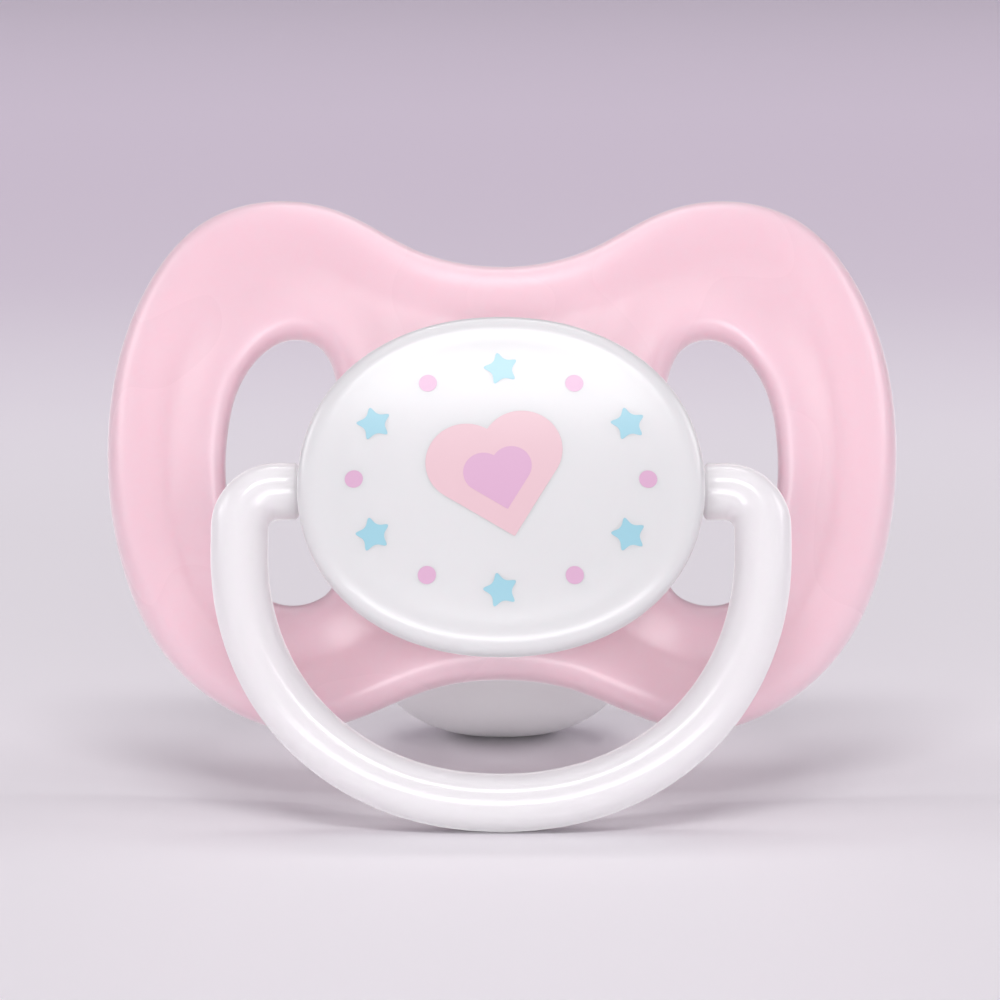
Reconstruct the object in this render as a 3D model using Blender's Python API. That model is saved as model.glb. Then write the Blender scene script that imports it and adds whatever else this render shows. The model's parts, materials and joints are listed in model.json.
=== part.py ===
"""Pacifier: butterfly shield, silicone teat, oval knob and a swinging ring handle.

Lengths are in millimetres and become metres when a mesh is made. The design frame has
X to the right, Y towards the teat and Z up the shield, with its origin where the teat's
axis crosses the middle of the shield. The whole pacifier hangs on the empty "stand",
which leans it back onto its ring and its teat, the way it rests on a table.
"""
import math

import bmesh
import bpy
import numpy as np
from mathutils import Vector
from mathutils.geometry import delaunay_2d_cdt

MM = 0.001
LEAN = math.radians(24.1)

# Fits
GAP = 0.1
RUNNING_GAP = 0.08

# Shield: the plate's outline and vent are given for its right half, from top to bottom
PLATE = 2.2
SIDE_SWEEP = 50.0
HEIGHT_SWEEP = 90.0
SHIELD_OUTLINE = [
    (0.0, 17.2), (5.2, 18.4), (9.8, 21.35), (14.4, 22.8), (19.2, 21.9), (22.9, 17.7),
    (24.75, 12.0), (25.1, 6.0), (24.0, -1.0), (21.2, -7.1), (17.1, -11.0), (12.4, -12.75),
    (8.6, -12.1), (4.2, -10.5), (0.0, -10.0),
]
VENT_OUTLINE = [
    (13.5, 12.85), (15.9, 11.2), (17.25, 7.1), (17.3, 3.1), (16.3, -1.6), (14.6, -4.4),
    (12.6, -5.0), (10.7, -4.2), (10.3, -1.8), (10.45, 2.4), (10.3, 7.0), (10.6, 10.4),
    (11.7, 12.3),
]
# Bead round the outline and the vents: (inset from the edge, height over the middle)
BEAD = [
    (1.55, 1.1), (1.2, 1.3), (0.75, 1.6), (0.35, 1.45), (0.08, 0.9), (0.0, 0.2),
    (0.12, -0.6), (0.45, -1.05), (0.95, -1.2), (1.55, -1.1),
]

# Stack along the teat's axis
BORE_RADIUS = 5.5
SEAT_RADIUS = 6.25
SEAT_HEIGHT = 0.5
COLLAR_RADIUS = 6.95
COLLAR_TOP = 3.2
SNAP_DEPTH = 0.25
SNAP_LOW = 1.9
SNAP_HIGH = 2.7
WEB_RADIUS = 8.15

# Teat
NECK_RADIUS = 5.4
TEAT_WALL = 1.5
FLANGE_RADIUS = 6.1
FLANGE_THICKNESS = 1.3
# Bulb sections: (distance behind the shield, half width, half height, drop of the centre)
BULB = [
    (2.6, 5.4, 5.4, 0.0), (5.0, 5.15, 5.15, 0.0), (7.6, 5.0, 5.0, 0.1),
    (10.2, 5.5, 5.3, 0.2), (12.8, 6.8, 6.05, 0.3), (15.6, 8.1, 6.85, 0.5),
    (18.6, 8.9, 7.3, 0.7), (21.4, 8.95, 7.2, 0.9), (24.2, 8.2, 6.5, 1.1),
    (26.8, 6.6, 5.25, 1.48), (28.9, 4.4, 3.55, 1.75), (30.1, 2.0, 1.6, 1.9),
]
TIP = (30.4, 1.9)
TIP_THICKENING = 0.8
HOLLOW_END = 28.1
SECTION_POWER = 2.3

# Plug inside the teat's neck
PLUG_RADIUS = 3.75
PLUG_BORE = 2.4
PLUG_END = 3.4
PLUG_FLANGE = 1.0

# Knob
KNOB_HALF = (12.4, 10.75)
KNOB_POWER = 2.12
KNOB_DROP = 0.36
PIVOT = 6.5
HUB_WALL = 0.8
FLOOR_BACK = COLLAR_TOP + GAP
FLOOR_FRONT = FLOOR_BACK + 1.0
FLOOR_HOLE = 2.4
PARTING_GAP = 0.05
# Cover sections from the parting line to the crown: (share of the full oval, height)
COVER_OUTSIDE = [
    (0.935, PIVOT + PARTING_GAP), (0.965, 7.4), (0.99, 8.1), (1.0, 8.6), (0.99, 9.1),
    (0.96, 9.5), (0.915, 9.8),
]
COVER_INSIDE = [(0.85, PIVOT + PARTING_GAP), (0.85, 8.2), (0.82, 8.75), (0.6, 9.3), (0.3, 9.5)]
CROWN = 10.75
INNER_CROWN = 9.6
FILM_SHARE = 0.84
FILM_THICKNESS = 0.15
FILM_GAP = 0.05
BASE_OUTSIDE = [(0.931, PIVOT - PARTING_GAP), (0.905, 5.4), (0.87, 4.3), (0.82, FLOOR_BACK)]
BASE_INSIDE = [(0.77, FLOOR_FRONT), (0.82, 5.2), (0.845, PIVOT - PARTING_GAP)]
# Half-bearings for the ring: blocks from BEARING_INNER outwards, BEARING_HALF up and down
BEARING_INNER = 9.75
BEARING_HALF = 2.1
COVER_BEARING_OUTER = 11.1
COVER_BEARING_TOP = 9.0
BASE_BEARING_OUTER = 10.5
BASE_BEARING_FOOT = 4.7
# Pegs of the cover pressed into sockets of the base
PEG_PLACES = [(x, z - KNOB_DROP) for x in (-5.6, 5.6) for z in (-5.3, 5.3)]
PEG_RADIUS = 0.8
PEG_TOP = 9.4
PEG_TIP = FLOOR_FRONT + 0.5
SOCKET_RADIUS = 1.6
SOCKET_TOP = 6.2

# Ring
RING_RADIUS = 1.75
RING_HALF_WIDTH = 15.95
RING_REACH = 19.55
RING_CORNER = 2.3
RING_STRAIGHT = 3.6
RING_POWER = 2.12
JOURNAL_RADIUS = 1.15
STUB_END = KNOB_HALF[0] + 0.2
STUB_SHOULDER = 0.35
HEAD_RADIUS = 1.5
HEAD_START = 8.5
HEAD_END = 9.6


# ---------------------------------------------------------------- outlines

def spline_loop(points, count):
    """A closed smooth curve through the points, sampled at equal steps."""
    knots = np.array(points, float)
    total = len(knots)
    chords = np.linalg.norm(np.roll(knots, -1, axis=0) - knots, axis=1)
    matrix = np.zeros((total, total))
    right = np.zeros((total, 2))
    for i in range(total):
        before = chords[i - 1]
        after = chords[i]
        matrix[i, i - 1] += before
        matrix[i, i] += 2 * (before + after)
        matrix[i, (i + 1) % total] += after
        rise = (knots[(i + 1) % total] - knots[i]) / after
        right[i] = 6 * (rise - (knots[i] - knots[i - 1]) / before)
    bends = np.linalg.solve(matrix, right)
    dense = []
    for i in range(total):
        after = chords[i]
        j = (i + 1) % total
        for share in np.linspace(0, 1, 40, endpoint=False):
            a = 1 - share
            b = share
            curve = (a ** 3 - a) * bends[i] + (b ** 3 - b) * bends[j]
            dense.append(a * knots[i] + b * knots[j] + curve * after ** 2 / 6)
    dense = np.array(dense + [dense[0]])
    travel = np.r_[0, np.cumsum(np.linalg.norm(np.diff(dense, axis=0), axis=1))]
    wanted = np.linspace(0, travel[-1], count, endpoint=False)
    loop = np.stack([np.interp(wanted, travel, dense[:, k]) for k in (0, 1)], axis=1)
    ahead = np.roll(loop, -1, axis=0)
    if np.sum(loop[:, 0] * ahead[:, 1] - ahead[:, 0] * loop[:, 1]) < 0:
        loop = loop[::-1]
    return loop


def mirrored(points):
    """The right half's points and their mirror images, as one round trip."""
    left = [(-x, z) for x, z in reversed(points) if x > 0]
    return list(points) + left


def inset(loop, distance):
    """The counter-clockwise loop moved towards its inside."""
    along = np.roll(loop, -1, axis=0) - np.roll(loop, 1, axis=0)
    along /= np.linalg.norm(along, axis=1)[:, None]
    return loop + distance * np.stack([-along[:, 1], along[:, 0]], axis=1)


def oval(half_width, half_height, power, count):
    """A superellipse; power 2 is an ellipse."""
    turn = np.linspace(0, 2 * math.pi, count, endpoint=False)
    c = np.cos(turn)
    s = np.sin(turn)
    x = half_width * np.sign(c) * np.abs(c) ** (2 / power)
    z = half_height * np.sign(s) * np.abs(s) ** (2 / power)
    return np.stack([x, z], axis=1)


def inside(points, loop):
    """Which points lie inside the closed loop, by counting the edges to their right."""
    result = np.zeros(len(points), bool)
    ahead = np.roll(loop, -1, axis=0)
    for (x1, z1), (x2, z2) in zip(loop, ahead):
        if z1 == z2:
            continue
        crosses = (points[:, 1] > z1) != (points[:, 1] > z2)
        at = x1 + (points[:, 1] - z1) * (x2 - x1) / (z2 - z1)
        result ^= crosses & (points[:, 0] < at)
    return result


# ---------------------------------------------------------------- meshes

def add_loop(mesh, points, depth):
    """One row of vertices; depth is a number, or a function of x and z."""
    row = []
    for x, z in points:
        y = depth(x, z) if callable(depth) else depth
        row.append(mesh.verts.new((x * MM, y * MM, z * MM)))
    return row


def bridge(mesh, row, other):
    for i in range(len(row)):
        j = (i + 1) % len(row)
        mesh.faces.new((row[i], row[j], other[j], other[i]))


def fan(mesh, row, tip):
    for i in range(len(row)):
        mesh.faces.new((row[i], row[(i + 1) % len(row)], tip))


def loft(mesh, rows, closed=False, start=None, end=None):
    """Bridge the rows in turn; a start or an end point closes that end with a fan."""
    for row, other in zip(rows, rows[1:]):
        bridge(mesh, row, other)
    if closed:
        bridge(mesh, rows[-1], rows[0])
    for row, place in ((rows[0], start), (rows[-1], end)):
        if place is not None:
            fan(mesh, row, mesh.verts.new(Vector(place) * MM))


def finish(mesh, name, material, parent, sharp=35):
    """Turn the bmesh into a named, smoothly shaded object."""
    bmesh.ops.recalc_face_normals(mesh, faces=mesh.faces)
    data = bpy.data.meshes.new(name)
    mesh.to_mesh(data)
    mesh.free()
    data.shade_smooth()
    data.set_sharp_from_angle(angle=math.radians(sharp))
    data.materials.append(material)
    item = bpy.data.objects.new(name, data)
    bpy.context.collection.objects.link(item)
    item.parent = parent
    return item


def plastic(name, colour, roughness):
    material = bpy.data.materials.new(name)
    material.use_nodes = True
    shader = material.node_tree.nodes["Principled BSDF"]
    shader.inputs["Base Color"].default_value = (*colour, 1.0)
    shader.inputs["Roughness"].default_value = roughness
    shader.inputs["Metallic"].default_value = 0.0
    return material


def helper(name, target, operation, mesh, parent):
    """A hidden shape that a Boolean on the target joins to it or cuts from it."""
    bmesh.ops.recalc_face_normals(mesh, faces=mesh.faces)
    data = bpy.data.meshes.new(name)
    mesh.to_mesh(data)
    mesh.free()
    item = bpy.data.objects.new(name, data)
    bpy.context.collection.objects.link(item)
    item.parent = parent
    item.hide_render = True
    item.display_type = "WIRE"
    change = target.modifiers.new(name, "BOOLEAN")
    change.object = item
    change.operation = operation
    change.solver = "EXACT"


def add_rod(mesh, centre, radius, low, high, axis, count=20):
    """A solid round rod along X or Y, between two places on that axis."""
    ends = []
    for place in (low, high):
        row = []
        for u, v in oval(radius, radius, 2, count):
            point = (place, centre[0] + u, centre[1] + v)
            if axis == "Y":
                point = (centre[0] + u, place, centre[1] + v)
            row.append(mesh.verts.new(Vector(point) * MM))
        ends.append(row)
    bridge(mesh, ends[0], ends[1])
    mesh.faces.new(ends[0])
    mesh.faces.new(ends[1])


def add_block(mesh, low, high):
    box = bmesh.ops.create_cube(mesh, size=1.0)["verts"]
    for vert in box:
        for k in range(3):
            vert.co[k] = (low[k] if vert.co[k] < 0 else high[k]) * MM


# ---------------------------------------------------------------- shield

def dish(x, z):
    """How far the plate's middle curves back from the flat, to follow the face."""
    return SIDE_SWEEP - math.sqrt(SIDE_SWEEP ** 2 - x * x) + z * z / (2 * HEIGHT_SWEEP)


def add_bead(mesh, loop, outward):
    """A rounded edge along the loop; returns its rows on the web's front and back."""
    rows = []
    for distance, height in BEAD:
        points = inset(loop, -distance if outward else distance)
        rows.append(add_loop(mesh, points, lambda x, z, h=height: dish(x, z) - h))
    for row, other in zip(rows, rows[1:]):
        bridge(mesh, row, other)
    return rows[0], rows[-1]


def add_collar(mesh, count):
    """The stepped bore with its snap collar; returns its rows on the web."""
    half = PLATE / 2
    circle = oval(1, 1, 2, count)
    snap = COLLAR_RADIUS + SNAP_DEPTH
    profile = [
        (COLLAR_RADIUS, half), (COLLAR_RADIUS, SNAP_LOW), (snap, SNAP_LOW + 0.2),
        (snap, SNAP_HIGH - 0.2), (COLLAR_RADIUS, SNAP_HIGH), (COLLAR_RADIUS, COLLAR_TOP),
        (SEAT_RADIUS, COLLAR_TOP), (SEAT_RADIUS, SEAT_HEIGHT), (BORE_RADIUS, SEAT_HEIGHT),
        (BORE_RADIUS, -half), (COLLAR_RADIUS, -half),
    ]
    front = add_loop(mesh, circle * WEB_RADIUS, lambda x, z: dish(x, z) - half)
    rows = [front]
    for radius, height in profile:
        rows.append(add_loop(mesh, circle * radius, -height))
    back = add_loop(mesh, circle * WEB_RADIUS, lambda x, z: dish(x, z) + half)
    rows.append(back)
    for row, other in zip(rows, rows[1:]):
        bridge(mesh, row, other)
    return front, back


def fill_web(mesh, fronts, backs, step):
    """Triangulate between the outer loop and the holes, and use it on both faces."""
    half = PLATE / 2
    loops = [np.array([(v.co.x / MM, v.co.z / MM) for v in row]) for row in fronts]
    corners = np.concatenate(loops)
    xs = np.arange(-24, 24.1, step)
    zs = np.arange(-12, 23, step)
    grid = np.array([(x, z) for x in xs for z in zs])
    keep = inside(grid, loops[0])
    for hole in loops[1:]:
        keep &= ~inside(grid, hole)
    spread = np.linalg.norm(grid[:, None, :] - corners[None, :, :], axis=2).min(axis=1)
    extra = grid[keep & (spread > 0.55 * step)]
    points = [Vector(p) for p in np.concatenate([corners, extra])]
    edges = []
    start = 0
    for loop in loops:
        total = len(loop)
        edges += [(start + i, start + (i + 1) % total) for i in range(total)]
        start += total
    flat, _, faces, sources, _, _ = delaunay_2d_cdt(points, edges, [], 0, 1e-6)
    middles = np.array([np.mean([flat[i][:] for i in face], axis=0) for face in faces])
    wanted = inside(middles, loops[0])
    for hole in loops[1:]:
        wanted &= ~inside(middles, hole)
    for rows, side in ((fronts, -1), (backs, 1)):
        verts = [v for row in rows for v in row]
        for x, z in extra:
            y = dish(x, z) + side * half
            verts.append(mesh.verts.new((x * MM, y * MM, z * MM)))
        for face, inner in zip(faces, wanted):
            if inner:
                mesh.faces.new([verts[sources[i][0]] for i in face])


def make_shield(parent):
    mesh = bmesh.new()
    vent = spline_loop(VENT_OUTLINE, 30)
    other_vent = spline_loop([(-x, z) for x, z in VENT_OUTLINE], 30)
    edges = [
        add_bead(mesh, spline_loop(mirrored(SHIELD_OUTLINE), 84), False),
        add_bead(mesh, vent, True),
        add_bead(mesh, other_vent, True),
        add_collar(mesh, 28),
    ]
    fill_web(mesh, [pair[0] for pair in edges], [pair[1] for pair in edges], 4.2)
    colour = plastic("pink_plastic", (0.86, 0.50, 0.58), 0.28)
    return finish(mesh, "shield", colour, parent)


# ---------------------------------------------------------------- teat and plug

def ground_level():
    """Height of the table under the pivot, along the leaning object's true vertical."""
    return PIVOT * math.sin(LEAN) - RING_REACH * math.cos(LEAN) - RING_RADIUS


def flatten_on_table(mesh):
    """Cut the teat's underside flat where it bears on the table."""
    up = Vector((0, -math.sin(LEAN), math.cos(LEAN)))
    cut = bmesh.ops.bisect_plane(
        mesh, geom=mesh.verts[:] + mesh.edges[:] + mesh.faces[:], dist=1e-7,
        plane_co=up * ground_level() * MM, plane_no=-up, clear_outer=True)
    rim = [item for item in cut["geom_cut"] if isinstance(item, bmesh.types.BMEdge)]
    bmesh.ops.edgeloop_fill(mesh, edges=rim)


def teat_rows(mesh, shrink, count, sections):
    rows = []
    for depth, width, height, drop in sections:
        round_off = min(1, max(0, (depth - 7.6) / 6))
        power = 2 + (SECTION_POWER - 2) * round_off
        points = oval(width - shrink, height - shrink, power, count)
        points[:, 1] -= drop
        rows.append(add_loop(mesh, points, depth))
    return rows


def make_teat(parent):
    mesh = bmesh.new()
    count = 28
    seat = -SEAT_HEIGHT - GAP
    flange_top = seat - FLANGE_THICKNESS
    bore = PLUG_RADIUS + GAP
    neck = oval(1, 1, 2, count)
    outer = teat_rows(mesh, 0.0, count, BULB)
    inner = teat_rows(mesh, TEAT_WALL, count, [row for row in BULB if row[1] > 2.2])
    for row in inner[-2:]:
        for vert in row:
            vert.co.y -= TIP_THICKENING * MM
    rows = [
        add_loop(mesh, neck * bore, flange_top),
        add_loop(mesh, neck * FLANGE_RADIUS, flange_top),
        add_loop(mesh, neck * FLANGE_RADIUS, seat),
        add_loop(mesh, neck * NECK_RADIUS, seat),
    ]
    tip_depth, drop = TIP
    loft(mesh, inner[::-1] + rows + outer,
         start=(0, HOLLOW_END, -drop), end=(0, tip_depth, -drop))
    flatten_on_table(mesh)
    colour = plastic("frosted_silicone", (0.74, 0.70, 0.71), 0.45)
    return finish(mesh, "teat", colour, parent, sharp=50)


def make_plug(parent):
    mesh = bmesh.new()
    circle = oval(1, 1, 2, 28)
    flange_back = -SEAT_HEIGHT - FLANGE_THICKNESS - 2 * GAP
    flange_front = flange_back - PLUG_FLANGE
    profile = [
        (PLUG_BORE, flange_front), (FLANGE_RADIUS - 0.1, flange_front),
        (FLANGE_RADIUS - 0.1, flange_back), (PLUG_RADIUS, flange_back),
        (PLUG_RADIUS, PLUG_END - 0.6), (PLUG_RADIUS - 0.5, PLUG_END), (PLUG_BORE, PLUG_END),
    ]
    rows = [add_loop(mesh, circle * radius, depth) for radius, depth in profile]
    loft(mesh, rows, closed=True)
    colour = plastic("plug_plastic", (0.86, 0.83, 0.85), 0.35)
    return finish(mesh, "teat_plug", colour, parent)


# ---------------------------------------------------------------- knob

def knob_row(mesh, share, height):
    """One row around the knob: the full oval shrunk to a share, at a height to the front."""
    points = oval(*KNOB_HALF, KNOB_POWER, 40) * share
    points[:, 1] -= KNOB_DROP
    return add_loop(mesh, points, -height)


def crown_height(share):
    """The cover's gently domed face, from the shoulder's last row to the crown."""
    edge_share, edge_height = COVER_OUTSIDE[-1]
    return CROWN - (CROWN - edge_height) * (share / edge_share) ** 2.2


def journal_cutter():
    mesh = bmesh.new()
    for low, high in ((-14, -9), (9, 14)):
        add_rod(mesh, (-PIVOT, 0), JOURNAL_RADIUS + RUNNING_GAP, low, high, "X")
    return mesh


def make_cover(parent):
    mesh = bmesh.new()
    recess = FILM_SHARE + FILM_GAP / KNOB_HALF[0]
    floor = FILM_THICKNESS + FILM_GAP
    rows = [knob_row(mesh, *row) for row in COVER_OUTSIDE]
    rows.append(knob_row(mesh, recess, crown_height(recess)))
    rows.append(knob_row(mesh, recess, crown_height(recess) - floor))
    for share in (0.56, 0.28):
        rows.append(knob_row(mesh, share, crown_height(share) - floor))
    lining = [knob_row(mesh, *row) for row in COVER_INSIDE]
    loft(mesh, lining[::-1] + rows,
         start=(0, -INNER_CROWN, -KNOB_DROP), end=(0, floor - CROWN, -KNOB_DROP))
    colour = plastic("white_gloss_plastic", (0.87, 0.85, 0.87), 0.18)
    cover = finish(mesh, "knob_cover", colour, parent)

    bearings = bmesh.new()
    for low, high in ((-COVER_BEARING_OUTER, -BEARING_INNER), (BEARING_INNER, COVER_BEARING_OUTER)):
        add_block(bearings, (low, -COVER_BEARING_TOP, -BEARING_HALF),
                  (high, -PIVOT - PARTING_GAP, BEARING_HALF))
    helper("cover_bearings", cover, "UNION", bearings, parent)

    pegs = bmesh.new()
    for place in PEG_PLACES:
        add_rod(pegs, place, PEG_RADIUS, -PEG_TOP, -PEG_TIP, "Y", 12)
    helper("cover_pegs", cover, "UNION", pegs, parent)
    helper("cover_journal_hole", cover, "DIFFERENCE", journal_cutter(), parent)
    return cover


def make_film(parent):
    """The printed label moulded into the cover's face, flush with it."""
    mesh = bmesh.new()
    shares = (0.28, 0.56, FILM_SHARE)
    front = [knob_row(mesh, share, crown_height(share)) for share in shares]
    back = [knob_row(mesh, share, crown_height(share) - FILM_THICKNESS) for share in shares]
    loft(mesh, front + back[::-1],
         start=(0, -CROWN, -KNOB_DROP), end=(0, FILM_THICKNESS - CROWN, -KNOB_DROP))
    colour = plastic("printed_label", (0.86, 0.82, 0.86), 0.2)
    return finish(mesh, "print_film", colour, parent)


def make_base(parent):
    mesh = bmesh.new()
    circle = oval(1, 1, 2, 40)
    hub = COLLAR_RADIUS + GAP
    groove = hub + SNAP_DEPTH
    shoulder = PLATE / 2 + 0.15
    outer = groove + HUB_WALL
    under = [
        (outer, FLOOR_BACK), (outer, shoulder), (hub, shoulder), (hub, SNAP_LOW - GAP),
        (groove, SNAP_LOW + 0.1), (groove, SNAP_HIGH - 0.1), (hub, SNAP_HIGH + GAP),
        (hub, FLOOR_BACK), (FLOOR_HOLE, FLOOR_BACK), (FLOOR_HOLE, FLOOR_FRONT),
    ]
    rows = [knob_row(mesh, *row) for row in BASE_OUTSIDE]
    rows += [add_loop(mesh, circle * radius, -height) for radius, height in under]
    rows += [knob_row(mesh, *row) for row in BASE_INSIDE]
    loft(mesh, rows, closed=True)
    colour = plastic("white_satin_plastic", (0.87, 0.85, 0.87), 0.25)
    base = finish(mesh, "knob_base", colour, parent)

    bearings = bmesh.new()
    for low, high in ((-BASE_BEARING_OUTER, -BEARING_INNER), (BEARING_INNER, BASE_BEARING_OUTER)):
        add_block(bearings, (low, PARTING_GAP - PIVOT, -BEARING_HALF),
                  (high, -BASE_BEARING_FOOT, BEARING_HALF))
    helper("base_bearings", base, "UNION", bearings, parent)

    sockets = bmesh.new()
    holes = bmesh.new()
    for place in PEG_PLACES:
        add_rod(sockets, place, SOCKET_RADIUS, -SOCKET_TOP, -FLOOR_BACK - 0.5, "Y", 16)
        add_rod(holes, place, PEG_RADIUS + GAP, -SOCKET_TOP - 1, -PEG_TIP + 0.2, "Y", 12)
    helper("base_sockets", base, "UNION", sockets, parent)
    helper("base_socket_holes", base, "DIFFERENCE", holes, parent)
    helper("base_journal_hole", base, "DIFFERENCE", journal_cutter(), parent)
    return base


# ---------------------------------------------------------------- ring

def ring_stations(bend_steps, bow_steps):
    """Half the ring's middle line from its snap head to the bottom: (x, z, radius)."""
    side = RING_HALF_WIDTH - RING_CORNER
    stations = [
        (HEAD_START, 0, HEAD_RADIUS - 0.5), (HEAD_START + 0.4, 0, HEAD_RADIUS),
        (HEAD_END, 0, HEAD_RADIUS), (HEAD_END, 0, JOURNAL_RADIUS),
        (STUB_END - STUB_SHOULDER, 0, JOURNAL_RADIUS),
        (STUB_END - STUB_SHOULDER / 2, 0, RING_RADIUS - 0.15), (STUB_END, 0, RING_RADIUS),
    ]
    for turn in np.linspace(math.pi / 2, 0, bend_steps):
        x = side + RING_CORNER * math.cos(turn)
        z = -RING_CORNER + RING_CORNER * math.sin(turn)
        stations.append((x, z, RING_RADIUS))
    for turn in np.linspace(0, math.pi / 2, bow_steps):
        x = RING_HALF_WIDTH * math.cos(turn) ** (2 / RING_POWER)
        z = (RING_REACH - RING_STRAIGHT) * math.sin(turn) ** (2 / RING_POWER)
        stations.append((x, -RING_STRAIGHT - z, RING_RADIUS))
    return stations


def make_ring(pivot):
    mesh = bmesh.new()
    half = ring_stations(5, 13)
    path = half + [(-x, z, radius) for x, z, radius in reversed(half[:-1])]
    rows = []
    for i, (x, z, radius) in enumerate(path):
        before = path[max(i - 1, 0)]
        after = path[min(i + 1, len(path) - 1)]
        along = Vector((after[0] - before[0], 0, after[1] - before[1])).normalized()
        across = along.cross(Vector((0, 1, 0)))
        row = []
        for u, v in oval(radius, radius, 2, 16):
            point = Vector((x, 0, z)) + across * u + Vector((0, v, 0))
            row.append(mesh.verts.new(point * MM))
        rows.append(row)
    ends = (path[0], path[-1])
    loft(mesh, rows, start=(ends[0][0], 0, 0), end=(ends[1][0], 0, 0))
    colour = plastic("milky_plastic", (0.88, 0.84, 0.88), 0.22)
    return finish(mesh, "ring", colour, pivot)


# ---------------------------------------------------------------- assembly

def add_empty(name, parent, location, lean):
    empty = bpy.data.objects.new(name, None)
    bpy.context.collection.objects.link(empty)
    empty.parent = parent
    empty.location = location
    empty.rotation_euler = (lean, 0, 0)
    return empty


def stand_on_origin(stand, items):
    """Move the stand so that the object's lowest face rests on Z = 0, centred."""
    bpy.context.view_layer.update()
    low = Vector((math.inf,) * 3)
    high = Vector((-math.inf,) * 3)
    for item in items:
        for vert in item.data.vertices:
            place = item.matrix_world @ vert.co
            low = Vector(map(min, low, place))
            high = Vector(map(max, high, place))
    stand.location = (-(low.x + high.x) / 2, -(low.y + high.y) / 2, -low.z)


def main():
    for item in list(bpy.data.objects):
        bpy.data.objects.remove(item, do_unlink=True)
    stand = add_empty("stand", None, (0, 0, 0), -LEAN)
    pivot = add_empty("ring_pivot", stand, (0, -PIVOT * MM, 0), 0)
    items = [
        make_shield(stand),
        make_teat(stand),
        make_plug(stand),
        make_base(stand),
        make_cover(stand),
        make_film(stand),
        make_ring(pivot),
    ]
    stand_on_origin(stand, items)


main()
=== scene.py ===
"""Looks for the pacifier: fine surfaces, plastics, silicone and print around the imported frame.

Lengths of the design are in millimetres. The design frame has X to the right, Y towards
the teat and Z up the shield; it hangs on the ring's hinge and leans back by LEAN, and
put() turns its points into world places in metres.
"""
import json
import math

import bmesh
import bpy
import numpy as np
from mathutils import Matrix, Vector
from mathutils.geometry import delaunay_2d_cdt


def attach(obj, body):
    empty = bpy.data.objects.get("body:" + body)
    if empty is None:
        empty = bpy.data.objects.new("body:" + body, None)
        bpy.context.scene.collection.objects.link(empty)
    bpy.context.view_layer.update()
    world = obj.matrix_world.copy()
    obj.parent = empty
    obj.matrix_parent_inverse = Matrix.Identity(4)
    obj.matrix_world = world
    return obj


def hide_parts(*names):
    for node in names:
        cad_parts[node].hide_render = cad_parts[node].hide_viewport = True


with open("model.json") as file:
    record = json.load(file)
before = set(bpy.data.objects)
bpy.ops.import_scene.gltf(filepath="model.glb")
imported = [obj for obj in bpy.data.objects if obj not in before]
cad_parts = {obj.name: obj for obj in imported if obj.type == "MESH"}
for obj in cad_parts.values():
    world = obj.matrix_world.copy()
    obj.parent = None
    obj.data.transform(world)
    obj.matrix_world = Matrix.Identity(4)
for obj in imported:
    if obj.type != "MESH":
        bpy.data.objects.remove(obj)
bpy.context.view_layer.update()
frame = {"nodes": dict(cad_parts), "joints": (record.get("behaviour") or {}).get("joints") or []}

MM = 0.001
LEAN = math.radians(24.1)
PIVOT = 6.5
HINGE = Vector(frame["joints"][0]["pos_m"])
TURN = Matrix.Rotation(-LEAN, 3, "X")
ORIGIN = HINGE - TURN @ Vector((0, -PIVOT * MM, 0))

# Shield
PLATE = 2.2
SIDE_SWEEP = 50.0
HEIGHT_SWEEP = 90.0
SHIELD_OUTLINE = [
    (0.0, 17.2), (5.2, 18.4), (9.8, 21.35), (14.4, 22.8), (19.2, 21.9), (22.9, 17.7),
    (24.75, 12.0), (25.1, 6.0), (24.0, -1.0), (21.2, -7.1), (17.1, -11.0), (12.4, -12.75),
    (8.6, -12.1), (4.2, -10.5), (0.0, -10.0),
]
VENT_OUTLINE = [
    (13.5, 12.85), (15.9, 11.2), (17.25, 7.1), (17.3, 3.1), (16.3, -1.6), (14.6, -4.4),
    (12.6, -5.0), (10.7, -4.2), (10.3, -1.8), (10.45, 2.4), (10.3, 7.0), (10.6, 10.4),
    (11.7, 12.3),
]
EDGE = [
    (1.2, 1.62), (0.85, 1.56), (0.5, 1.34), (0.22, 0.98), (0.05, 0.5), (0.0, 0.0),
    (0.08, -0.45), (0.3, -0.85), (0.7, -1.07), (1.2, -1.1),
]
EDGE_REACH = EDGE[0][0]
EDGE_RISE = EDGE[0][1] - PLATE / 2
SWELL_END = 4.6
BORE_RADIUS = 5.5
SEAT_RADIUS = 6.25
SEAT_HEIGHT = 0.5
COLLAR_RADIUS = 6.95
COLLAR_TOP = 3.2
SNAP_DEPTH = 0.25
SNAP_LOW = 1.9
SNAP_HIGH = 2.7
SNAP_RAMP = 0.2
BORE_ROUND = [(0.0, 0.3), (0.1, 0.08), (0.35, 0.0)]
WEB_RADIUS = 8.15
WEB_STEP = 0.42
WEB_SPAN_X = (-24, 24.1)
WEB_SPAN_Z = (-12, 23)
RIM_COUNT = 480
VENT_COUNT = 180
COLLAR_COUNT = 120
EDGE_STEPS = 32

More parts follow.
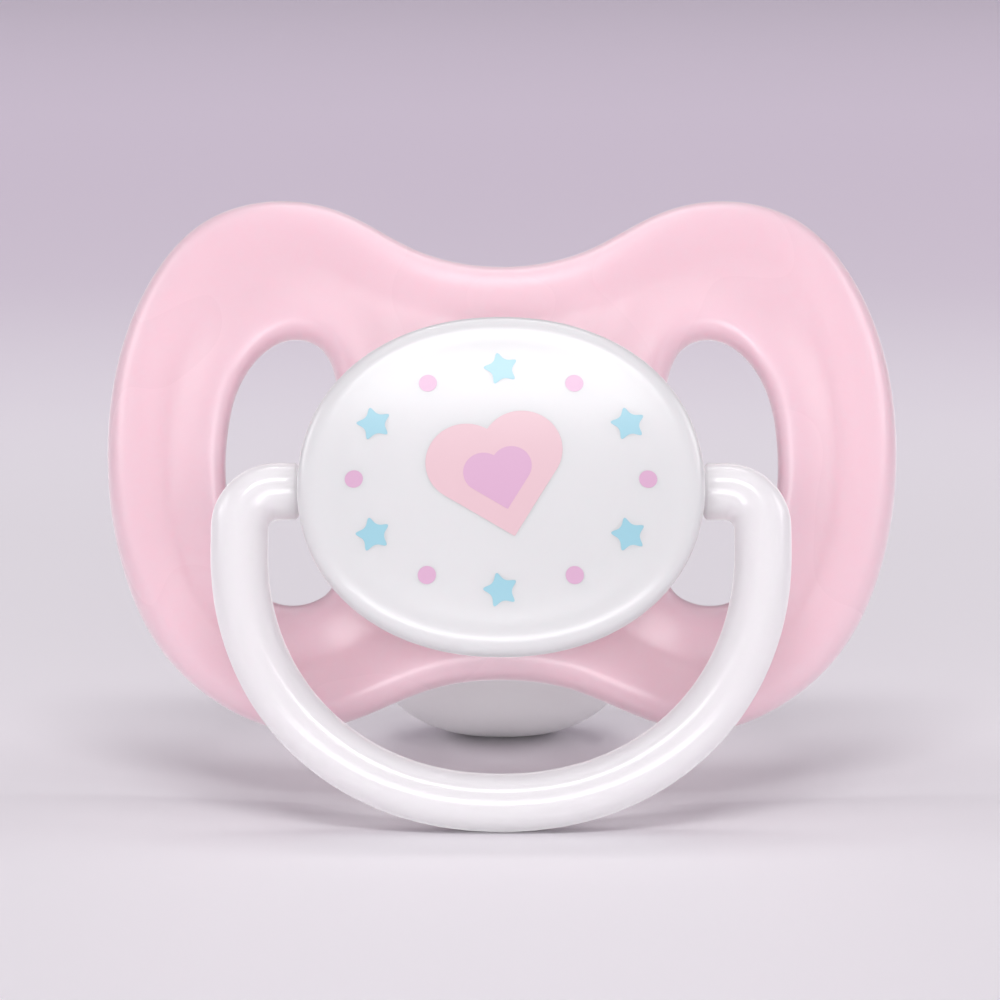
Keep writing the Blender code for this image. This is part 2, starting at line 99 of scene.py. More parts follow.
# Teat
GAP = 0.1
NECK_RADIUS = 5.4
TEAT_WALL = 1.5
FLANGE_RADIUS = 6.1
FLANGE_THICKNESS = 1.3
BULB = [
    (2.6, 5.4, 5.4, 0.0), (5.0, 5.15, 5.15, 0.0), (7.6, 5.0, 5.0, 0.1),
    (10.2, 5.5, 5.3, 0.2), (12.8, 6.8, 6.05, 0.3), (15.6, 8.1, 6.85, 0.5),
    (18.6, 8.9, 7.3, 0.7), (21.4, 8.95, 7.2, 0.9), (24.2, 8.2, 6.5, 1.1),
    (26.8, 6.6, 5.25, 1.48), (28.9, 4.4, 3.55, 1.75), (30.1, 2.0, 1.6, 1.9),
]
TIP = (30.4, 1.9)
TIP_THICKENING = 0.8
TIP_START = 24
TIP_BLEND = 3
HOLLOW_END = 28.1
HOLLOW_TIP = 0.1
SECTION_POWER = 2.3
SECTION_START = 7.6
SECTION_BLEND = 6
PLUG_RADIUS = 3.75
TEAT_COUNT = 96
TEAT_OUTER_STEPS = 60
TEAT_INNER_STEPS = 44
FLAT_SOFTNESS = 0.00012
FLAT_REACH = 6
FLAT_SQUASH = 0.98

# Knob
KNOB_HALF = (12.4, 10.75)
KNOB_DROP = 0.36
KNOB_POWER = 2.12
KNOB_COUNT = 200
HUB_WALL = 0.8
HUB_LIFT = 0.15
GROOVE_RAMP = 0.1
FLOOR_BACK = COLLAR_TOP + GAP
FLOOR_FRONT = FLOOR_BACK + 1.0
FLOOR_HOLE = 2.4
PARTING_GAP = 0.05
COVER_OUTSIDE = [
    (0.935, PIVOT + PARTING_GAP), (0.962, 7.4), (0.985, 8.2), (0.998, 8.75), (0.995, 9.2),
    (0.975, 9.6), (0.935, 9.88),
]
COVER_INSIDE = [(0.85, PIVOT + PARTING_GAP), (0.85, 8.2), (0.82, 8.75), (0.6, 9.3), (0.3, 9.5)]
CROWN = 10.75
CROWN_POWER = 2.2
FACE_SHARES = (0.86, 0.78, 0.66, 0.5, 0.3, 0.1)
INNER_CROWN = 9.6
BASE_OUTSIDE = [(0.931, PIVOT - PARTING_GAP), (0.905, 5.4), (0.87, 4.3), (0.82, FLOOR_BACK)]
BASE_INSIDE = [(0.77, FLOOR_FRONT), (0.82, 5.2), (0.845, PIVOT - PARTING_GAP)]

# Print
INK = 0.015
INK_STEP = 0.45
CORNER_CUT = 0.2
STAR_NOTCH = 0.5
STAR_RADIUS = 1.2
DOT_RADIUS = 0.55
PRINT_TILT = 14
HEART_HALF_WIDTH = 4.2
HEART_DROP = 0.7
INNER_HEART = 0.5
WREATH_HALF = (8.9, 7.0)
WREATH_COUNT = 12

# Ring
RING_RADIUS = 1.75
RING_HALF_WIDTH = 15.95
RING_REACH = 19.55
RING_CORNER = 2.3
RING_STRAIGHT = 3.6
RING_POWER = 2.12
JOURNAL_RADIUS = 1.15
STUB_END = KNOB_HALF[0] + 0.2
STUB_SHOULDER = 0.35
STUB_ROUND = [(STUB_SHOULDER / 2, 0.15), (0.08, 0.05)]
HEAD_RADIUS = 1.5
HEAD_START = 8.5
HEAD_END = 9.6
HEAD_CHAMFER = (0.4, 0.5)
BEND_STEPS = 20
BOW_STEPS = 90
RING_COUNT = 64

# Looks
CLOUD_SCALE = 60.0
SHEEN_ROUGHNESS = 0.35


def put(x, y, z):
    """A point of the design frame, in millimetres, as a world place in metres."""
    return ORIGIN + TURN @ Vector((x * MM, y * MM, z * MM))


# ---------------------------------------------------------------- outlines

def spline(points, count, closed):
    """A smooth curve through points of any dimension, sampled at equal steps."""
    knots = np.array(points, float)
    total = len(knots)
    if closed:
        knots = np.concatenate([knots, knots[:1]])
        total += 1
    chords = np.linalg.norm(np.diff(knots, axis=0), axis=1)
    matrix = np.eye(total)
    right = np.zeros(knots.shape)
    for i in range(1, total - 1):
        before = chords[i - 1]
        after = chords[i]
        matrix[i, i - 1:i + 2] = (before, 2 * (before + after), after)
        rise = (knots[i + 1] - knots[i]) / after
        right[i] = 6 * (rise - (knots[i] - knots[i - 1]) / before)
    if closed:
        before = chords[-1]
        after = chords[0]
        matrix[0] = 0
        matrix[0, -2:] = (before, 0)
        matrix[0, 0] = 2 * (before + after)
        matrix[0, 1] = after
        rise = (knots[1] - knots[0]) / after
        right[0] = 6 * (rise - (knots[-1] - knots[-2]) / before)
        matrix[-1, 0] = -1
    bends = np.linalg.solve(matrix, right)
    dense = []
    for i, after in enumerate(chords):
        share = np.linspace(0, 1, 60, endpoint=False)[:, None]
        a = 1 - share
        curve = (a ** 3 - a) * bends[i] + (share ** 3 - share) * bends[i + 1]
        dense.append(a * knots[i] + share * knots[i + 1] + curve * after ** 2 / 6)
    dense = np.concatenate(dense + [knots[-1:]])
    travel = np.r_[0, np.cumsum(np.linalg.norm(np.diff(dense, axis=0), axis=1))]
    wanted = np.linspace(0, travel[-1], count, endpoint=not closed)
    return np.stack([np.interp(wanted, travel, column) for column in dense.T], axis=1)


def outline(points, count):
    """A closed smooth outline, counter-clockwise."""
    loop = spline(points, count, True)
    ahead = np.roll(loop, -1, axis=0)
    if np.sum(loop[:, 0] * ahead[:, 1] - ahead[:, 0] * loop[:, 1]) < 0:
        loop = loop[::-1]
    return loop


def mirrored(points):
    """The right half's points and their mirror images, as one round trip."""
    left = [(-x, z) for x, z in reversed(points) if x > 0]
    return list(points) + left


def inset(loop, distance):
    """The counter-clockwise loop moved towards its inside."""
    along = np.roll(loop, -1, axis=0) - np.roll(loop, 1, axis=0)
    along /= np.linalg.norm(along, axis=1)[:, None]
    return loop + distance * np.stack([-along[:, 1], along[:, 0]], axis=1)


def oval(half_width, half_height, power, count):
    """A superellipse; power 2 is an ellipse."""
    turn = np.linspace(0, 2 * math.pi, count, endpoint=False)
    c = np.cos(turn)
    s = np.sin(turn)
    x = half_width * np.sign(c) * np.abs(c) ** (2 / power)
    z = half_height * np.sign(s) * np.abs(s) ** (2 / power)
    return np.stack([x, z], axis=1)


def inside(points, loop):
    """Which points lie inside the closed loop, by counting the edges to their right."""
    result = np.zeros(len(points), bool)
    ahead = np.roll(loop, -1, axis=0)
    for (x1, z1), (x2, z2) in zip(loop, ahead):
        if z1 == z2:
            continue
        crosses = (points[:, 1] > z1) != (points[:, 1] > z2)
        at = x1 + (points[:, 1] - z1) * (x2 - x1) / (z2 - z1)
        result ^= crosses & (points[:, 0] < at)
    return result


def inside_any(points, loops):
    """Which points lie inside at least one of the closed loops."""
    result = np.zeros(len(points), bool)
    for loop in loops:
        result |= inside(points, loop)
    return result


def nearest(points, loop):
    """Each point's distance to the loop's nearest corner."""
    return np.array([np.linalg.norm(loop - point, axis=1).min() for point in points])


def loop_edges(loops):
    """Index pairs along closed loops whose corners are listed one loop after another."""
    edges = []
    start = 0
    for loop in loops:
        total = len(loop)
        edges += [(start + i, start + (i + 1) % total) for i in range(total)]
        start += total
    return edges


# ---------------------------------------------------------------- meshes

def add_loop(mesh, points, depth):
    """One row of vertices; depth is a number, or a function of x and z."""
    row = []
    for x, z in points:
        y = depth(x, z) if callable(depth) else depth
        row.append(mesh.verts.new(put(x, y, z)))
    return row


def bridge(mesh, row, other):
    """A band of quads between two rows of the same length."""
    for i in range(len(row)):
        j = (i + 1) % len(row)
        mesh.faces.new((row[i], row[j], other[j], other[i]))


def fan(mesh, row, tip):
    """A cone of triangles from a row to one vertex."""
    for i in range(len(row)):
        mesh.faces.new((row[i], row[(i + 1) % len(row)], tip))


def loft(mesh, rows, closed=False, start=None, end=None):
    """Bridge the rows in turn; a start or an end point closes that end with a fan."""
    for row, other in zip(rows, rows[1:]):
        bridge(mesh, row, other)
    if closed:
        bridge(mesh, rows[-1], rows[0])
    for row, place in ((rows[0], start), (rows[-1], end)):
        if place is not None:
            fan(mesh, row, mesh.verts.new(put(*place)))


def finish(mesh, name, material, body, replaced=(), sharp=35):
    """Turn the bmesh into a smoothly shaded piece that rides on a body."""
    bmesh.ops.recalc_face_normals(mesh, faces=mesh.faces)
    data = bpy.data.meshes.new(name)
    mesh.to_mesh(data)
    mesh.free()
    data.shade_smooth()
    data.set_sharp_from_angle(angle=math.radians(sharp))
    data.materials.append(material)
    item = bpy.data.objects.new(name, data)
    bpy.context.collection.objects.link(item)
    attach(item, body)
    if replaced:
        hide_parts(*replaced)
    return item


# ---------------------------------------------------------------- materials

class Nodes:
    """One node material, built around its Principled shader."""

    def __init__(self, name):
        self.material = bpy.data.materials.new(name)
        self.material.use_nodes = True
        self.tree = self.material.node_tree
        self.shader = self.tree.nodes["Principled BSDF"]

    def add(self, kind, inputs=None, **settings):
        """A new node; an input is a value, or a socket to link to."""
        node = self.tree.nodes.new(kind)
        for key, value in settings.items():
            setattr(node, key, value)
        for key, value in (inputs or {}).items():
            if isinstance(value, bpy.types.NodeSocket):
                self.tree.links.new(value, node.inputs[key])
            else:
                node.inputs[key].default_value = value
        return node

    def set(self, **values):
        """Set the shader's inputs by name, with underscores for spaces."""
        for key, value in values.items():
            socket = self.shader.inputs[key.replace("_", " ")]
            if isinstance(value, bpy.types.NodeSocket):
                self.tree.links.new(value, socket)
            else:
                socket.default_value = value

    def noise(self, scale):
        """Noise over the piece's own coordinates: scale is in cells for each metre."""
        place = self.add("ShaderNodeTexCoord")
        return self.add("ShaderNodeTexNoise", {
            "Vector": place.outputs["Object"], "Scale": scale, "Detail": 1.0,
        }).outputs["Fac"]

    def spread(self, value, low, high):
        """The noise's range spread smoothly over low to high."""
        return self.add("ShaderNodeMapRange", {
            "Value": value, "From Min": 0.2, "From Max": 0.8, "To Min": low, "To Max": high,
        }, interpolation_type="SMOOTHERSTEP").outputs["Result"]

    def tint(self, value, one, other):
        """A colour between two, chosen by a value from 0 to 1."""
        mix = self.add("ShaderNodeMix", data_type="RGBA")
        self.tree.links.new(value, mix.inputs["Factor"])
        mix.inputs["A"].default_value = (*one, 1)
        mix.inputs["B"].default_value = (*other, 1)
        return mix.outputs["Result"]


def linear(red, green, blue):
    """A display colour, 0 to 255 for each channel, as the shader's linear colour."""
    return tuple((c / 255 / 12.92) if c <= 10 else ((c / 255 + 0.055) / 1.055) ** 2.4
                 for c in (red, green, blue))


def moulded(name, colour, rough, scatter=0.0, depth=0.0, coat=0.0, sheen=0.0):
    """Glossy injection-moulded plastic with a faint cloudiness in its colour and gloss."""
    nodes = Nodes(name)
    cloud = nodes.noise(CLOUD_SCALE)
    deeper = tuple(0.985 * channel for channel in colour)
    nodes.set(
        Base_Color=nodes.tint(nodes.spread(cloud, 0.0, 1.0), linear(*colour), linear(*deeper)),
        Roughness=rough,
        IOR=1.5,
        Subsurface_Weight=scatter,
        Subsurface_Radius=(1.0, 0.8, 0.85),
        Subsurface_Scale=depth,
        Coat_Weight=coat,
        Coat_Roughness=nodes.spread(cloud, 0.65 * rough, 0.73 * rough),
        Sheen_Weight=sheen,
        Sheen_Roughness=SHEEN_ROUGHNESS,
    )
    return nodes.material


def make_materials():
    """Every material of the object, by a short name."""
    made = {}
    made["pink"] = moulded("pink_plastic", (228, 197, 206), 0.4, 1.0, 0.003, 0.4, 0.7)
    made["white"] = moulded("white_plastic", (210, 210, 211), 0.3, 0.4, 0.0015, 0.35, 0.6)
    made["plug"] = moulded("plug_plastic", (232, 228, 233), 0.35, 0.2, 0.001)

    inks = {
        "ink_pink": (213, 181, 188), "ink_lilac": (203, 162, 190), "ink_blue": (148, 193, 206),
    }
    for name, colour in inks.items():
        made[name] = moulded(name, colour, 0.3, coat=0.35)

    milky = Nodes("milky_plastic")
    cloud = milky.noise(CLOUD_SCALE)
    milky.set(
        Base_Color=milky.tint(
            milky.spread(cloud, 0, 1), linear(229, 227, 229), linear(227, 225, 227)),
        Roughness=0.18,
        IOR=1.5,
        Subsurface_Weight=1.0,
        Subsurface_Radius=(1.0, 0.95, 1.0),
        Subsurface_Scale=0.004,
        Transmission_Weight=0.13,
        Sheen_Weight=1.0,
        Sheen_Roughness=0.45,
    )
    made["milky"] = milky.material

    silicone = Nodes("frosted_silicone")
    cloud = silicone.noise(CLOUD_SCALE)
    silicone.set(
        Base_Color=silicone.tint(
            silicone.spread(cloud, 0, 1), linear(251, 248, 250), linear(250, 246, 249)),
        Roughness=0.4,
        IOR=1.41,
        Subsurface_Weight=1.0,
        Subsurface_Radius=(1.0, 1.0, 1.0),
        Subsurface_Scale=0.002,
    )
    made["silicone"] = silicone.material
    return made


# ---------------------------------------------------------------- shield

def dish(x, z):
    """How far the plate's middle curves back from the flat, to follow the face."""
    return SIDE_SWEEP - math.sqrt(SIDE_SWEEP ** 2 - x * x) + z * z / (2 * HEIGHT_SWEEP)


def swell(distance):
    """How far the rolled edge still stands above the web, this far in from the outline."""
    share = (distance - EDGE_REACH) / (SWELL_END - EDGE_REACH)
    share = min(1.0, max(0.0, share))
    return EDGE_RISE * (0.5 + 0.5 * math.cos(math.pi * share))


def add_edge(mesh, loop, outward):
    """A rolled edge along the loop; returns its rows on the web's front and back."""
    rows = []
    for distance, height in spline(EDGE, EDGE_STEPS, False):
        points = inset(loop, -distance if outward else distance)
        rows.append(add_loop(mesh, points, lambda x, z, h=height: dish(x, z) - h))
    for row, other in zip(rows, rows[1:]):
        bridge(mesh, row, other)
    return rows[0], rows[-1]


def add_collar(mesh):
    """The stepped bore with its snap collar; returns its rows on the web."""
    half = PLATE / 2
    circle = oval(1, 1, 2, COLLAR_COUNT)
    snap = COLLAR_RADIUS + SNAP_DEPTH
    profile = [
        (COLLAR_RADIUS, half), (COLLAR_RADIUS, SNAP_LOW), (snap, SNAP_LOW + SNAP_RAMP),
        (snap, SNAP_HIGH - SNAP_RAMP), (COLLAR_RADIUS, SNAP_HIGH), (COLLAR_RADIUS, COLLAR_TOP),
        (SEAT_RADIUS, COLLAR_TOP), (SEAT_RADIUS, SEAT_HEIGHT), (BORE_RADIUS, SEAT_HEIGHT),
    ]
    profile += [(BORE_RADIUS + wider, height - half) for wider, height in BORE_ROUND]
    profile.append((COLLAR_RADIUS, -half))
    front = add_loop(mesh, circle * WEB_RADIUS, lambda x, z: dish(x, z) - half)
    rows = [front]
    for radius, height in profile:
        rows.append(add_loop(mesh, circle * radius, -height))
    back = add_loop(mesh, circle * WEB_RADIUS, lambda x, z: dish(x, z) + half)
    rows.append(back)
    for row, other in zip(rows, rows[1:]):
        bridge(mesh, row, other)
    return front, back


def fill_web(mesh, outlines, loops, fronts, backs):
    """Triangulate between the outer loop and the holes, and use it on both faces."""
    half = PLATE / 2
    corners = np.concatenate(loops)
    xs = np.arange(*WEB_SPAN_X, WEB_STEP)
    zs = np.arange(*WEB_SPAN_Z, WEB_STEP)
    grid = np.array([(x, z) for x in xs for z in zs])
    grid = grid[inside(grid, loops[0]) & ~inside_any(grid, loops[1:])]
    extra = grid[nearest(grid, corners) > 0.5 * WEB_STEP]
    points = [Vector(p) for p in np.concatenate([corners, extra])]
    flat, _, faces, sources, _, _ = delaunay_2d_cdt(points, loop_edges(loops), [], 0, 1e-6)
    middles = np.array([np.mean([flat[i][:] for i in face], axis=0) for face in faces])
    wanted = inside(middles, loops[0]) & ~inside_any(middles, loops[1:])
    rises = [swell(apart) for apart in nearest(extra, np.concatenate(outlines))]
    for rows, side in ((fronts, -1), (backs, 1)):
        verts = [v for row in rows for v in row]
        for (x, z), rise in zip(extra, rises):
            depth = dish(x, z) + side * half - (rise if side < 0 else 0)
            verts.append(mesh.verts.new(put(x, depth, z)))
        for face, inner in zip(faces, wanted):
            if inner:
                mesh.faces.new([verts[sources[i][0]] for i in face])


def make_shield(material):
    mesh = bmesh.new()
    rim = outline(mirrored(SHIELD_OUTLINE), RIM_COUNT)
    vent = outline(VENT_OUTLINE, VENT_COUNT)
    other_vent = outline([(-x, z) for x, z in VENT_OUTLINE], VENT_COUNT)
    edges = [
        add_edge(mesh, rim, False),
        add_edge(mesh, vent, True),
        add_edge(mesh, other_vent, True),
        add_collar(mesh),
    ]
    loops = [inset(rim, EDGE_REACH), inset(vent, -EDGE_REACH), inset(other_vent, -EDGE_REACH),
             oval(WEB_RADIUS, WEB_RADIUS, 2, COLLAR_COUNT)]
    fill_web(mesh, [rim, vent, other_vent], loops,
             [front for front, _ in edges], [back for _, back in edges])
    return finish(mesh, "shield_skin", material, "soother", ["shield"])


# ---------------------------------------------------------------- teat

def flatten_on_table(mesh):
    """Press the teat's underside smoothly flat where it bears on the table."""
    soft = FLAT_SOFTNESS
    for vert in mesh.verts:
        height = vert.co.z
        if height < FLAT_REACH * soft:
            vert.co.z = soft * math.log1p(math.exp(height / soft)) * FLAT_SQUASH


def teat_sections(shrink, steps):
    """Smooth cross sections along the bulb, as (points, depth), made smaller by shrink."""
    rows = []
    for depth, width, height, drop in spline(BULB, steps, False):
        round_off = min(1, max(0, (depth - SECTION_START) / SECTION_BLEND))
        power = 2 + (SECTION_POWER - 2) * round_off
        points = oval(width - shrink, height - shrink, power, TEAT_COUNT)
        points[:, 1] -= drop
        rows.append((points, depth))
    return rows


def make_teat(material):
    mesh = bmesh.new()
    seat = -SEAT_HEIGHT - GAP
    flange_top = seat - FLANGE_THICKNESS
    bore = PLUG_RADIUS + GAP
    neck = oval(1, 1, 2, TEAT_COUNT)
    outer = [add_loop(mesh, points, depth)
             for points, depth in teat_sections(0.0, TEAT_OUTER_STEPS)]
    inner = []
    for points, depth in teat_sections(TEAT_WALL, TEAT_INNER_STEPS):
        depth -= TIP_THICKENING * min(1.0, max(0.0, (depth - TIP_START) / TIP_BLEND))
        if depth < HOLLOW_END:
            inner.append(add_loop(mesh, points, depth))
    rows = [
        add_loop(mesh, neck * bore, flange_top),
        add_loop(mesh, neck * FLANGE_RADIUS, flange_top),
        add_loop(mesh, neck * FLANGE_RADIUS, seat),
        add_loop(mesh, neck * NECK_RADIUS, seat),
    ]
    tip_depth, drop = TIP
    loft(mesh, inner[::-1] + rows + outer,
         start=(0, HOLLOW_END + HOLLOW_TIP, -drop), end=(0, tip_depth, -drop))
    flatten_on_table(mesh)
    return finish(mesh, "teat_skin", material, "soother", ["teat"], sharp=50)


# ---------------------------------------------------------------- knob

def knob_row(mesh, share, height):
    """One row around the knob: the full oval shrunk to a share, at a height to the front."""
    points = oval(*KNOB_HALF, KNOB_POWER, KNOB_COUNT) * share
    points[:, 1] -= KNOB_DROP
    return add_loop(mesh, points, -height)


def knob_rows(mesh, profile, steps):
    """Rows of a smooth profile; ten times the share is about its size in millimetres."""
    smooth = spline([(share * 10, height) for share, height in profile], steps, False)
    return [knob_row(mesh, share / 10, height) for share, height in smooth]


def crown_height(share):
    """The cover's gently domed face, from the shoulder's last row to the crown."""
    edge_share, edge_height = COVER_OUTSIDE[-1]
    return CROWN - (CROWN - edge_height) * (share / edge_share) ** CROWN_POWER


def on_face(x, z, proud=0.0):
    """A point of the cover's face, raised by proud."""
    half_width, half_height = KNOB_HALF
    share = (abs(x / half_width) ** KNOB_POWER
             + abs((z + KNOB_DROP) / half_height) ** KNOB_POWER) ** (1 / KNOB_POWER)
    return put(x, -crown_height(share) - proud, z)


def make_cover(material):
    mesh = bmesh.new()
    face = [(share, crown_height(share)) for share in FACE_SHARES]
    rows = knob_rows(mesh, COVER_OUTSIDE + face, 80)
    inner = knob_rows(mesh, COVER_INSIDE, 30)
    loft(mesh, inner[::-1] + rows,
         start=(0, -INNER_CROWN, -KNOB_DROP), end=(0, -CROWN, -KNOB_DROP))
    return finish(mesh, "cover_skin", material, "soother",
                  ["knob_cover", "print_film"])


def make_base(material):
    mesh = bmesh.new()
    circle = oval(1, 1, 2, KNOB_COUNT)
    hub = COLLAR_RADIUS + GAP
    groove = hub + SNAP_DEPTH
    shoulder = PLATE / 2 + HUB_LIFT
    outer = groove + HUB_WALL
    under = [
        (outer, FLOOR_BACK), (outer, shoulder), (hub, shoulder), (hub, SNAP_LOW - GAP),
        (groove, SNAP_LOW + GROOVE_RAMP), (groove, SNAP_HIGH - GROOVE_RAMP), (hub, SNAP_HIGH + GAP),
        (hub, FLOOR_BACK), (FLOOR_HOLE, FLOOR_BACK), (FLOOR_HOLE, FLOOR_FRONT),
    ]
    rows = knob_rows(mesh, BASE_OUTSIDE, 16)
    rows += [add_loop(mesh, circle * radius, -height) for radius, height in under]
    rows += knob_rows(mesh, BASE_INSIDE, 8)
    loft(mesh, rows, closed=True)
    return finish(mesh, "base_skin", material, "soother", ["knob_base"])


# ---------------------------------------------------------------- print

def soften(points, times):
    """Cut the corners of a closed outline again and again, which rounds them."""
    loop = np.array(points, float)
    kept = 1 - CORNER_CUT
    for _ in range(times):
        ahead = np.roll(loop, -1, axis=0)
        first = kept * loop + CORNER_CUT * ahead
        second = CORNER_CUT * loop + kept * ahead
        loop = np.stack([first, second], axis=1).reshape(-1, 2)
    return loop


def star(x, z, radius, turn):
    """A regular five-pointed star with slightly rounded points."""
    points = []
    for i in range(10):
        reach = radius * (1.0 if i % 2 == 0 else STAR_NOTCH)
        angle = math.radians(turn + 90 + 36 * i)
        points.append((x + reach * math.cos(angle), z + reach * math.sin(angle)))
    return soften(points, 3)


def dot(x, z):
    """A round dot around a place on the face."""
    return oval(DOT_RADIUS, DOT_RADIUS, 2, 48) + (x, z)


def heart(z, half_width):
    """A tilted heart: a square on its corner, with a half circle on each upper side."""
    middle = half_width / (1 + math.sqrt(2))
    corner = 2 * middle
    turn = np.radians(np.linspace(135, -45, 40))
    reach = middle * math.sqrt(2)
    lobe = np.stack([middle + reach * np.cos(turn), middle + reach * np.sin(turn)], axis=1)
    side = np.linspace((corner, 0), (0, -corner), 18)[1:]
    right = np.concatenate([lobe, side])
    left = right[-2:0:-1] * (-1, 1)
    outline = soften(np.concatenate([right, left]), 1)
    tilt = math.radians(PRINT_TILT)
    across = (math.cos(tilt), math.sin(tilt))
    up = (-math.sin(tilt), math.cos(tilt))
    return outline @ np.array([across, up]) + (0, z)


def make_ink(name, loops, material, layer=1):
    """A thin closed film of ink on the knob's face, filling the union of the outlines."""
    corners = np.concatenate(loops)
    low = corners.min(axis=0)
    high = corners.max(axis=0)
    xs = np.arange(low[0], high[0], INK_STEP)
    zs = np.arange(low[1], high[1], INK_STEP)
    grid = np.array([(x, z) for x in xs for z in zs])
    grid = grid[inside_any(grid, loops)]
    if len(grid):
        grid = grid[nearest(grid, corners) > 0.4 * INK_STEP]
    points = [Vector(p) for p in np.concatenate([corners, grid])]
    flat, _, faces, _, _, _ = delaunay_2d_cdt(points, loop_edges(loops), [], 0, 1e-5)
    middles = np.array([np.mean([flat[i][:] for i in face], axis=0) for face in faces])
    faces = [face for face, inner in zip(faces, inside_any(middles, loops)) if inner]
    used = sorted({i for face in faces for i in face})

    mesh = bmesh.new()
    front = {i: mesh.verts.new(on_face(*flat[i], INK * layer)) for i in used}
    back = {i: mesh.verts.new(on_face(*flat[i], -INK)) for i in used}
    for face in faces:
        mesh.faces.new([front[i] for i in face])
        mesh.faces.new([back[i] for i in reversed(face)])
    sides = {}
    for face in faces:
        for i, j in zip(face, face[1:] + face[:1]):
            sides[frozenset((i, j))] = None if frozenset((i, j)) in sides else (i, j)
    for pair in sides.values():
        if pair:
            i, j = pair
            mesh.faces.new((front[j], front[i], back[i], back[j]))
    return finish(mesh, name, material, "soother")


def make_print(looks):
    """A plain tilted heart inside a wreath of stars and dots."""
    make_ink("print_heart", [heart(-HEART_DROP, HEART_HALF_WIDTH)], looks["ink_pink"])
    make_ink("print_heart_inner", [heart(-HEART_DROP, INNER_HEART * HEART_HALF_WIDTH)],
             looks["ink_lilac"], 2)
    for i in range(WREATH_COUNT):
        turn = math.radians(90 + 360 * i / WREATH_COUNT)
        x = WREATH_HALF[0] * math.cos(turn)
        z = WREATH_HALF[1] * math.sin(turn) - KNOB_DROP
        number = i // 2 + 1
        if i % 2 == 0:
            points = star(x, z, STAR_RADIUS, PRINT_TILT)
            make_ink(f"print_star_{number}", [points], looks["ink_blue"])
        else:
            make_ink(f"print_dot_{number}", [dot(x, z)], looks["ink_lilac"])


# ---------------------------------------------------------------- ring

def ring_stations():
    """Half the ring's middle line from its snap head to the bottom: (x, z, radius)."""
    side = RING_HALF_WIDTH - RING_CORNER
    chamfer, narrower = HEAD_CHAMFER
    stations = [
        (HEAD_START, 0, HEAD_RADIUS - narrower), (HEAD_START + chamfer, 0, HEAD_RADIUS),
        (HEAD_END, 0, HEAD_RADIUS), (HEAD_END, 0, JOURNAL_RADIUS),
        (STUB_END - STUB_SHOULDER, 0, JOURNAL_RADIUS),
    ]
    stations += [(STUB_END - back, 0, RING_RADIUS - less) for back, less in STUB_ROUND]
    stations.append((STUB_END, 0, RING_RADIUS))
    for turn in np.linspace(math.pi / 2, 0, BEND_STEPS):
        x = side + RING_CORNER * math.cos(turn)
        z = -RING_CORNER + RING_CORNER * math.sin(turn)
        stations.append((x, z, RING_RADIUS))
    for turn in np.linspace(0, math.pi / 2, BOW_STEPS):
        x = RING_HALF_WIDTH * math.cos(turn) ** (2 / RING_POWER)
        z = (RING_REACH - RING_STRAIGHT) * math.sin(turn) ** (2 / RING_POWER)
        stations.append((x, -RING_STRAIGHT - z, RING_RADIUS))
    return stations


def make_ring(material):
    mesh = bmesh.new()
    half = ring_stations()
    path = half + [(-x, z, radius) for x, z, radius in reversed(half[:-1])]
    rows = []
    for i, (x, z, radius) in enumerate(path):
        before = path[max(i - 1, 0)]
        after = path[min(i + 1, len(path) - 1)]
        along = Vector((after[0] - before[0], 0, after[1] - before[1])).normalized()
        across = along.cross(Vector((0, 1, 0)))
        row = []
        for u, v in oval(radius, radius, 2, RING_COUNT):
            point = Vector((x, -PIVOT, z)) + across * u + Vector((0, v, 0))
            row.append(mesh.verts.new(put(*point)))
        rows.append(row)
    start, end = path[0], path[-1]
    loft(mesh, rows, start=(start[0], -PIVOT, 0), end=(end[0], -PIVOT, 0))
    return finish(mesh, "ring_skin", material, "handle", ["ring"])


# ---------------------------------------------------------------- stage

FLOOR_RADIUS = 6.0
FLOOR_REACH = 1.5

# The floor's colours at distances in metres from the middle: a pale paper colour with painted shade
# that deepens and lifts again with distance, standing in for the light falling off over a studio
# sweep
FLOOR_SHADE_TONES = [
    (0.0, (236, 233, 237)), (0.14, (239, 236, 240)), (0.22, (243, 238, 245)),
    (0.36, (219, 208, 222)), (0.7, (234, 222, 238)), (1.4, (246, 238, 250)),
]


def make_floor():
    """A wide floor whose colour deepens away from the object: painted shade standing in for the
    light falling off over a paper sweep.
    """
    bpy.ops.mesh.primitive_circle_add(vertices=128, radius=FLOOR_RADIUS, fill_type="NGON")
    floor = bpy.context.object
    floor.name = "floor"
    nodes = Nodes("floor_painted_shade")
    place = nodes.add("ShaderNodeTexCoord")
    apart = nodes.add("ShaderNodeVectorMath", {0: place.outputs["Object"]},
                      operation="LENGTH")
    # Painted shade: this ramp darkens and lightens the floor's colour with distance in place of the
    # lights' falloff
    ramp = nodes.add("ShaderNodeValToRGB", {"Fac": nodes.add("ShaderNodeMapRange", {
        "Value": apart.outputs["Value"], "From Min": 0.0, "From Max": FLOOR_REACH,
    }).outputs["Result"]})
    stops = ramp.color_ramp
    stops.interpolation = "B_SPLINE"
    while len(stops.elements) < len(FLOOR_SHADE_TONES):
        stops.elements.new(1.0)
    for stop, (distance, colour) in zip(stops.elements, FLOOR_SHADE_TONES):
        stop.position = distance / FLOOR_REACH
        stop.color = (*linear(*colour), 1)
    nodes.set(Base_Color=ramp.outputs["Color"], Roughness=0.6)
    floor.data.materials.append(nodes.material)


def add_light(name, place, target, size, power):
    data = bpy.data.lights.new(name, "AREA")
    data.shape = "RECTANGLE"
    data.size, data.size_y = size
    data.energy = power
    light = bpy.data.objects.new(name, data)
    bpy.context.collection.objects.link(light)
    light.location = place
    light.rotation_euler = (Vector(target) - Vector(place)).to_track_quat("-Z", "Y").to_euler()
    light.visible_camera = False


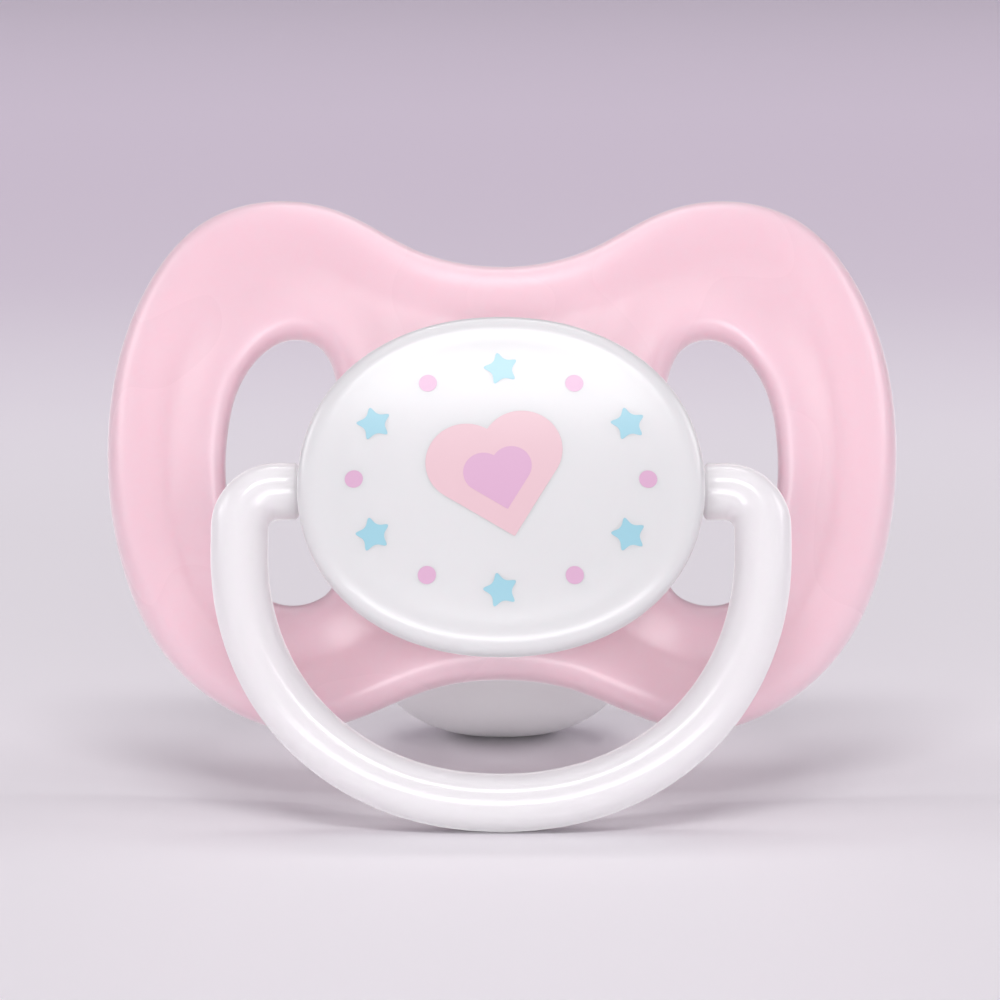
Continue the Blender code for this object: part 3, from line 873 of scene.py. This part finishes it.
# Name, place, size in metres and power in watts
LIGHTS = [
    ("top_softbox", (0, 0.15, 2.0), (2.0, 1.3), 8.8),
    ("hair_strip", (0, 0.95, 1.75), (1.4, 0.15), 6.2),
    ("left_softbox", (-1.7, 0.3, 1.0), (0.9, 0.8), 6.8),
    ("right_softbox", (1.7, 0.3, 1.0), (0.9, 0.8), 6.8),
    ("front_key", (0, -1.15, 1.75), (1.2, 0.4), 14.5),
    ("low_softbox", (0, -2.2, 0.4), (2.6, 0.6), 23.0),
    ("skim_strip", (0, -1.6, 0.09), (3.0, 0.14), 10.5),
]
AMBIENT = 0.15


def make_lights():
    middle = (0, 0, 0.015)
    for name, place, size, power in LIGHTS:
        add_light(name, place, middle, size, power)
    world = bpy.data.worlds.new("studio")
    world.use_nodes = True
    back = world.node_tree.nodes["Background"]
    back.inputs["Color"].default_value = (*linear(228, 200, 232), 1)
    back.inputs["Strength"].default_value = AMBIENT
    bpy.context.scene.world = world


def make_camera():
    """A long lens in front of the hinge and a little above it."""
    distance = 0.350
    elevation = math.radians(7.3)
    azimuth = math.radians(0.2)
    back = Vector((math.sin(azimuth) * math.cos(elevation),
                   -math.cos(azimuth) * math.cos(elevation), math.sin(elevation)))
    right = Vector((math.cos(azimuth), math.sin(azimuth), 0))
    up = back.cross(right)
    aim = HINGE - right * 0.07 * MM - up * 0.52 * MM
    data = bpy.data.cameras.new("camera")
    data.lens = 206.2
    data.sensor_width = 36.0
    data.clip_start = 0.01
    data.clip_end = 50
    camera = bpy.data.objects.new("camera", data)
    bpy.context.collection.objects.link(camera)
    camera.location = aim + back * distance
    camera.rotation_mode = "QUATERNION"
    camera.rotation_quaternion = (-back).to_track_quat("-Z", "Y")
    bpy.context.scene.camera = camera


def main():
    looks = make_materials()
    make_shield(looks["pink"])
    make_teat(looks["silicone"])
    make_cover(looks["white"])
    make_base(looks["white"])
    make_print(looks)
    make_ring(looks["milky"])
    plug = frame["nodes"]["teat_plug"]
    plug.data.materials.clear()
    plug.data.materials.append(looks["plug"])
    make_floor()
    make_lights()
    make_camera()
    bpy.context.scene.view_settings.view_transform = "Standard"


main()
